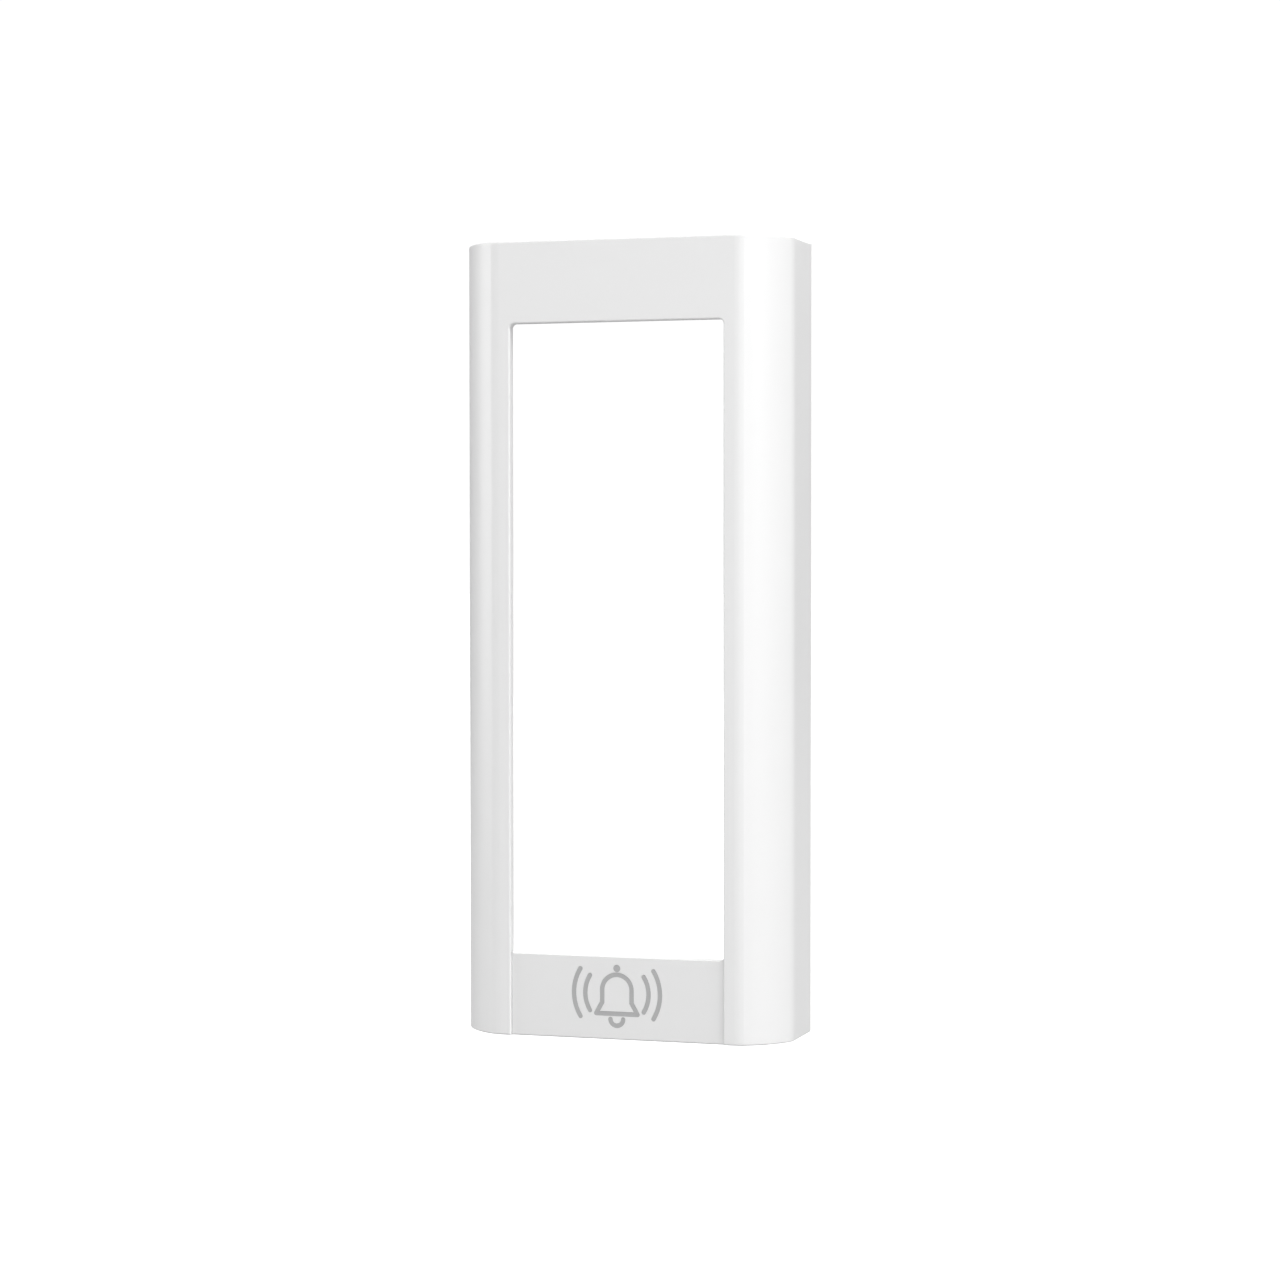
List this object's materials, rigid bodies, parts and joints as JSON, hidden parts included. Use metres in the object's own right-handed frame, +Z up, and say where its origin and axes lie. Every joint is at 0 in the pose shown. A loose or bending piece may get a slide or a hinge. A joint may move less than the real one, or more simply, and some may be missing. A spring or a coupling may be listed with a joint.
{
  "type": "video doorbell faceplate",
  "caption": "Slim white clip-on faceplate for a wired video doorbell: open window, badge panel, snap fingers and a captive security screw.",
  "frame": {"origin": "centre of the cover's back rim, in the plane that meets the wall or the doorbell's base", "axes": "+Y into the wall, so the front faces -Y; +Z up; +X to a visitor's right"},
  "size_m": [0.049, 0.016, 0.114],
  "materials": {
    "white_cover": "satin, fine moulded texture",
    "white_frame": "satin",
    "foam_black": "closed-cell foam",
    "screw_steel": "passivated stainless steel",
    "retainer_steel": "dark spring steel",
    "white_finger": "satin",
    "emblem_grey": "flat grey"
  },
  "bodies": {
    "cover": {"outer_shell": "white_cover", "inner_frame": "white_frame", "window_seal": "foam_black", "emblem_bell": "emblem_grey", "emblem_knob": "emblem_grey", "emblem_clapper": "emblem_grey", "emblem_arc_left_inner": "emblem_grey", "emblem_arc_left_outer": "emblem_grey", "emblem_arc_right_inner": "emblem_grey", "emblem_arc_right_outer": "emblem_grey"},
    "retainer": {"screw_retainer": "retainer_steel"},
    "screw": {"security_screw": "screw_steel"},
    "finger_left_lower": {"snap_finger_left_lower": "white_finger"},
    "finger_left_upper": {"snap_finger_left_upper": "white_finger"},
    "finger_right_lower": {"snap_finger_right_lower": "white_finger"},
    "finger_right_upper": {"snap_finger_right_upper": "white_finger"}
  },
  "joints": [
    {"name": "screw_travel", "type": "slide", "parent": "cover", "child": "retainer", "axis": [0, 0, -1], "range_m": [0, 0.0024]},
    {"name": "screw_turn", "type": "hinge", "parent": "retainer", "child": "screw", "pos_m": [0, -0.0065, -0.0552], "axis": [0, 0, -1], "range_deg": [0, 1730]},
    {"name": "flex_left_lower", "type": "hinge", "parent": "cover", "child": "finger_left_lower", "pos_m": [-0.02165, -0.01, -0.034], "axis": [0, 0, 1], "range_deg": [-2, 5], "stiffness_Nm_per_rad": 1.1},
    {"name": "flex_left_upper", "type": "hinge", "parent": "cover", "child": "finger_left_upper", "pos_m": [-0.02165, -0.01, 0.034], "axis": [0, 0, 1], "range_deg": [-2, 5], "stiffness_Nm_per_rad": 1.1},
    {"name": "flex_right_lower", "type": "hinge", "parent": "cover", "child": "finger_right_lower", "pos_m": [0.02165, -0.01, -0.034], "axis": [0, 0, -1], "range_deg": [-2, 5], "stiffness_Nm_per_rad": 1.1},
    {"name": "flex_right_upper", "type": "hinge", "parent": "cover", "child": "finger_right_upper", "pos_m": [0.02165, -0.01, 0.034], "axis": [0, 0, -1], "range_deg": [-2, 5], "stiffness_Nm_per_rad": 1.1}
  ],
  "couplings": [
    {"joint": "screw_turn", "follows": "screw_travel", "rad_per_m": 12566}
  ]
}
